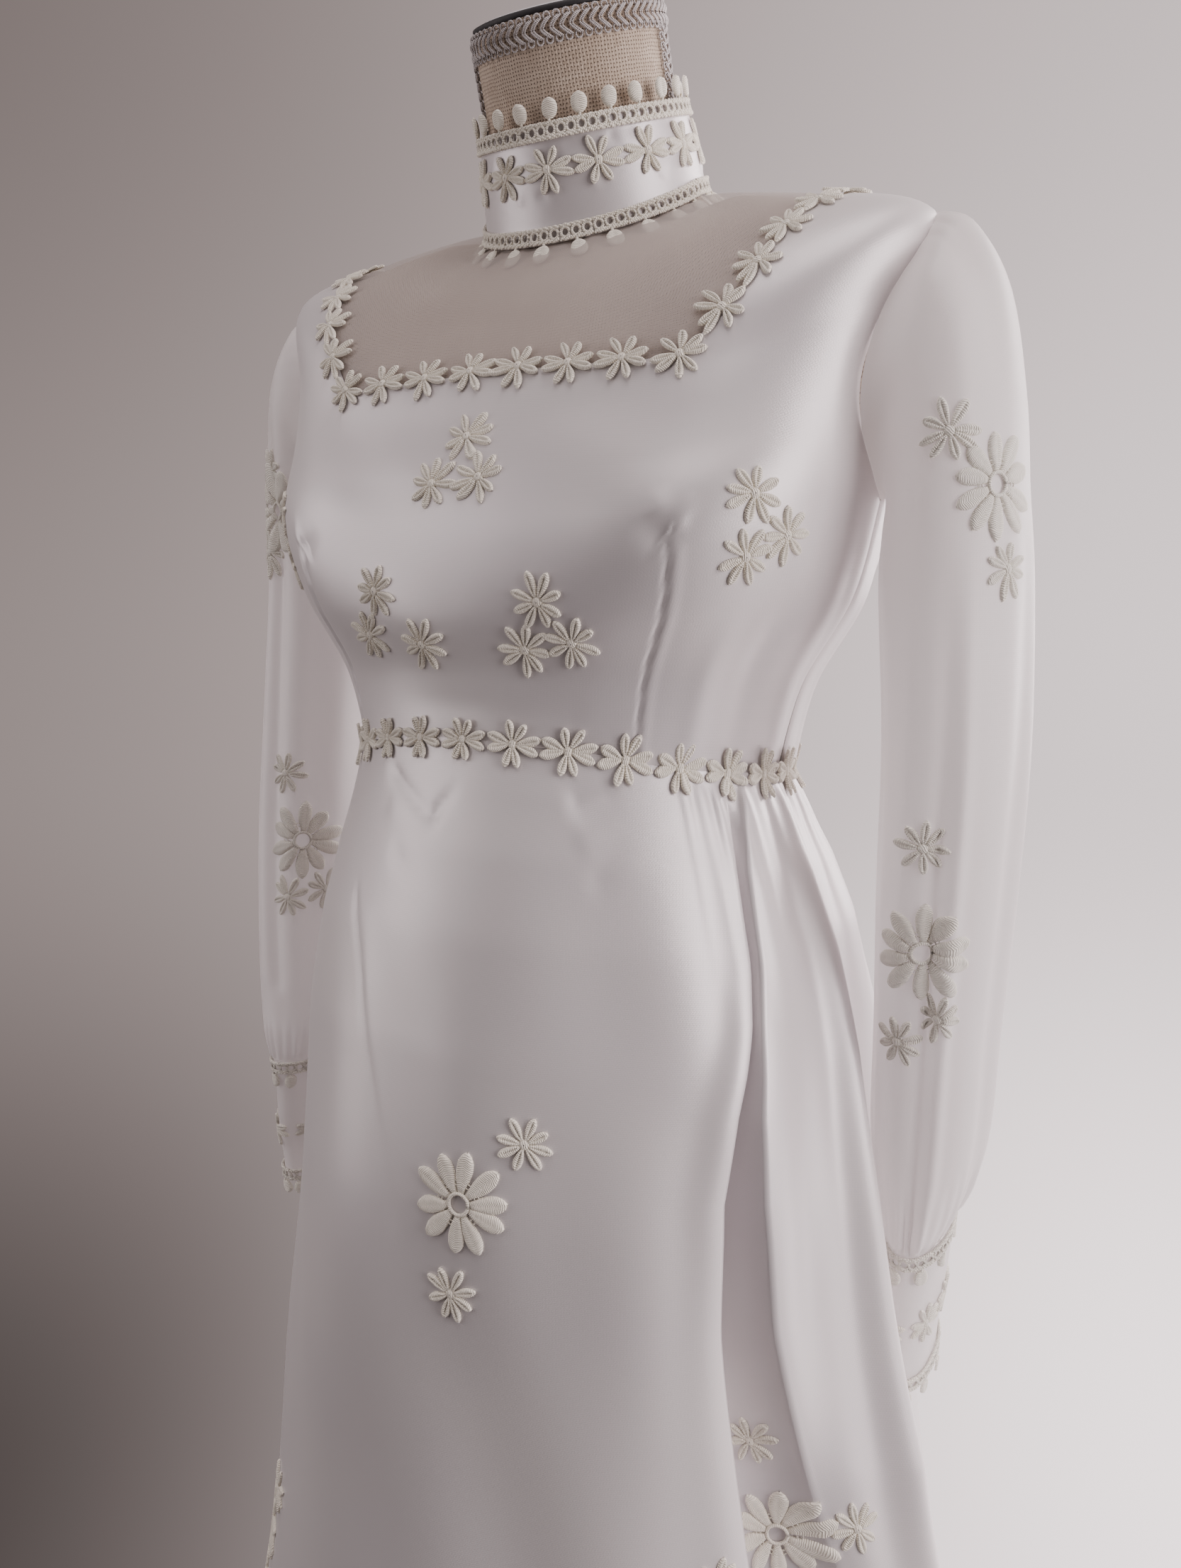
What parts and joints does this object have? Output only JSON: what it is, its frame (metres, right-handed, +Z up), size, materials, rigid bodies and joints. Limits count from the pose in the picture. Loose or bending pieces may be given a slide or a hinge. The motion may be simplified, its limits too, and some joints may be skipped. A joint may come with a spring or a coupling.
{
  "type": "wedding dress on dress form",
  "caption": "Full-length raised-waist satin wedding dress with sheer yoke, stand collar and long sleeves, daisy lace trims, worn by a limbless dress form on a round stand.",
  "frame": {"origin": "centre of the stand's flat underside, on the floor", "axes": "+Z up; the dress faces -Y; +X is the dress's own left side"},
  "size_m": [0.5419, 0.553, 1.5133],
  "materials": {
    "satin": "pale satin, soft sheen",
    "organza": "sheer crisp organza, see-through",
    "guipure": "cream chemical lace, matt",
    "linen": "open-weave natural linen",
    "gimp_braid": "silver-grey gimp braid",
    "cap": "matt black",
    "zip_tape": "woven tape, cream",
    "stand_paint": "satin black"
  },
  "bodies": {
    "root": {"bodice_front": "satin", "bodice_back_left": "satin", "bodice_back_right": "satin", "skirt_front": "satin", "skirt_back_left": "satin", "skirt_back_right": "satin", "cuff_left": "satin", "cuff_right": "satin", "collar": "satin", "sleeve_left": "satin", "sleeve_right": "satin", "yoke_front": "organza", "yoke_back_left": "organza", "yoke_back_right": "organza", "collar_top_edging": "guipure", "collar_base_edging": "guipure", "collar_daisy_trim": "guipure", "neckline_daisy_trim": "guipure", "waist_daisy_trim": "guipure", "cuff_top_edging_left": "guipure", "cuff_top_edging_right": "guipure", "cuff_bottom_edging_left": "guipure", "cuff_bottom_edging_right": "guipure", "cuff_daisy_trim_left": "guipure", "cuff_daisy_trim_right": "guipure", "form_torso": "linen", "form_neck_braid": "gimp_braid", "form_neck_cap": "cap", "back_zip": "zip_tape", "stand_pole": "stand_paint", "stand_base": "stand_paint"}
  },
  "joints": []
}
